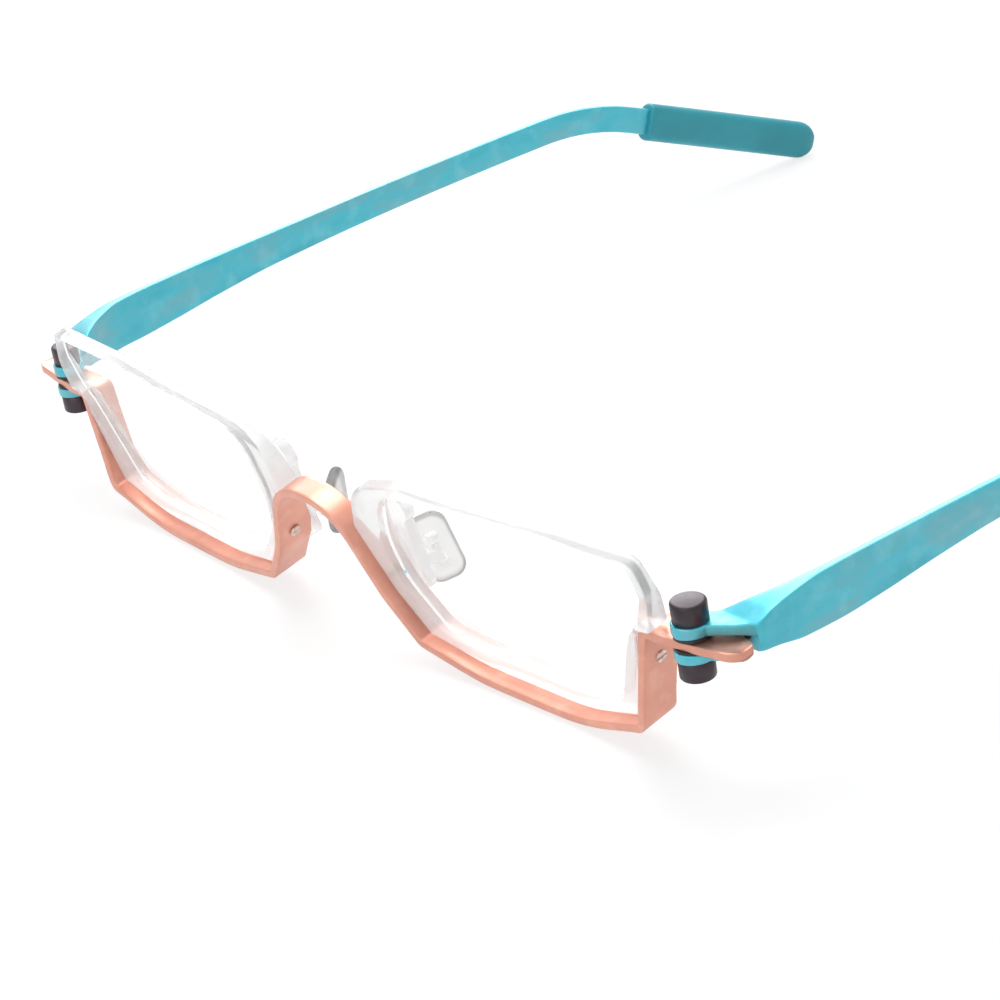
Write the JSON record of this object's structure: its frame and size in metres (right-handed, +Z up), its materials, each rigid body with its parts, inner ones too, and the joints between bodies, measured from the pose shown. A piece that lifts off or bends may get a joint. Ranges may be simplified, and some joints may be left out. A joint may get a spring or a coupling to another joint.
{
  "type": "eyeglasses",
  "caption": "Eyeglasses with a bent copper coloured strip front, clear half-seated rims, nose pads and turquoise temples on pin hinges.",
  "frame": {"origin": "middle of the bounding box, at the plane the bottom sills and ear tips stand on, temples open", "axes": "+X to the wearer's left, +Y to the back along the temples, +Z up along the hinge pins"},
  "size_m": [0.1438, 0.1474, 0.0267],
  "materials": {
    "copper_anodised": "satin anodised",
    "clear_plastic": "clear, slightly frosted edges",
    "lens": "polished",
    "screw_metal": "satin",
    "pad_silicone": "clear, soft",
    "turquoise_anodised": "brushed anodised",
    "tip_plastic": "satin",
    "dark_metal": "dark gunmetal, bright chamfers",
    "washer_plastic": "matte",
    "bumper_rubber": "matte"
  },
  "bodies": {
    "front": {"front_ribbon": "copper_anodised", "rim_left": "clear_plastic", "rim_right": "clear_plastic", "lens_left": "lens", "lens_right": "lens", "rim_screw_outer_left": "screw_metal", "rim_screw_outer_right": "screw_metal", "rim_screw_inner_left": "screw_metal", "rim_screw_inner_right": "screw_metal", "pad_arm_left": "clear_plastic", "pad_arm_right": "clear_plastic"},
    "pad_left": {"nose_pad_left": "pad_silicone"},
    "pad_right": {"nose_pad_right": "pad_silicone"},
    "temple_left_body": {"temple_left": "turquoise_anodised", "hinge_pin_left": "dark_metal", "upper_cap_left": "dark_metal", "lower_cap_left": "dark_metal", "upper_washer_left": "washer_plastic", "lower_washer_left": "washer_plastic", "stop_bumper_left": "bumper_rubber", "temple_tip_left": "tip_plastic"},
    "temple_right_body": {"temple_right": "turquoise_anodised", "hinge_pin_right": "dark_metal", "upper_cap_right": "dark_metal", "lower_cap_right": "dark_metal", "upper_washer_right": "washer_plastic", "lower_washer_right": "washer_plastic", "stop_bumper_right": "bumper_rubber", "temple_tip_right": "tip_plastic"}
  },
  "joints": [
    {"name": "temple_fold_left", "type": "hinge", "parent": "front", "child": "temple_left_body", "pos_m": [0.063, -0.06669, 0.01691], "axis": [0, 0, 1], "range_deg": [0, 90]},
    {"name": "temple_fold_right", "type": "hinge", "parent": "front", "child": "temple_right_body", "pos_m": [-0.063, -0.06669, 0.01691], "axis": [0, 0, 1], "range_deg": [-76, 0]},
    {"name": "pad_rock_left", "type": "hinge", "parent": "front", "child": "pad_left", "pos_m": [0.01198, -0.0629, 0.01114], "axis": [-0.2706, -0.1438, 0.9519], "range_deg": [-6, 6]},
    {"name": "pad_rock_right", "type": "hinge", "parent": "front", "child": "pad_right", "pos_m": [-0.01198, -0.0629, 0.01114], "axis": [0.2706, -0.1438, 0.9519], "range_deg": [-6, 6]}
  ]
}
